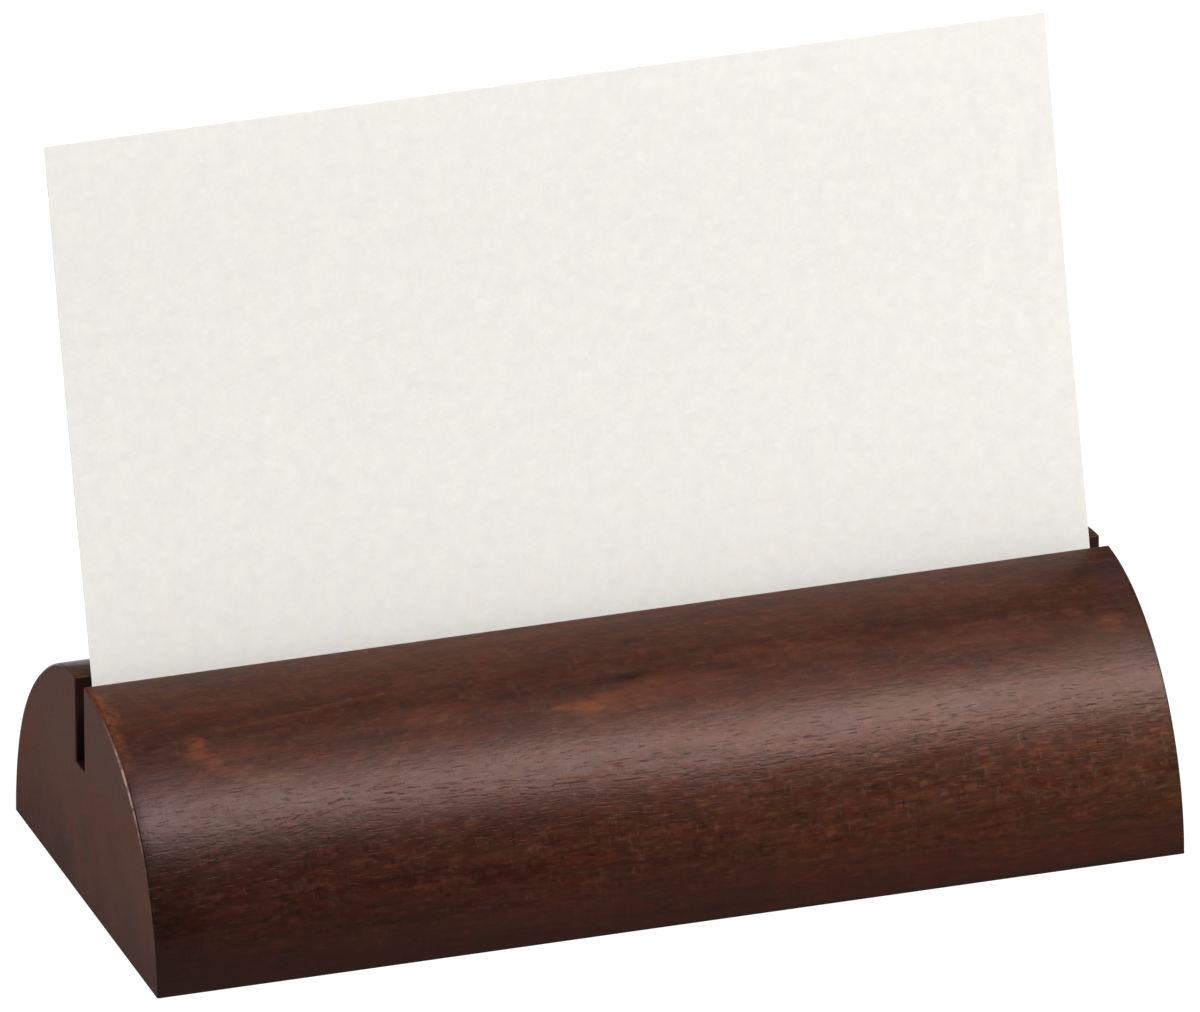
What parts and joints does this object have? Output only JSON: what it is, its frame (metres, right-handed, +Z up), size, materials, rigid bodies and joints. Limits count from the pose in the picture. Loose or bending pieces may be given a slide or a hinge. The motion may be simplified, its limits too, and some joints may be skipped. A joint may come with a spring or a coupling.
{
  "type": "sign holder",
  "caption": "Dark stained half-round wooden block with a slot sawn along its top, holding a blank display card that leans back.",
  "frame": {"origin": "middle of the block's flat underside", "axes": "+X along the slot, to the right as seen from the front; +Y to the rear, the way the card leans; +Z up"},
  "size_m": [0.0926, 0.0408, 0.0647],
  "materials": {
    "stained_wood": "dark walnut stain under satin lacquer",
    "card_stock": "uncoated off-white card"
  },
  "bodies": {
    "base": {"wood_base": "stained_wood"},
    "card": {"sign_card": "card_stock"}
  },
  "joints": [
    {"name": "card_lift", "type": "slide", "parent": "base", "child": "card", "axis": [0, 0.2609, 0.9654], "range_m": [0, 0.02]}
  ]
}
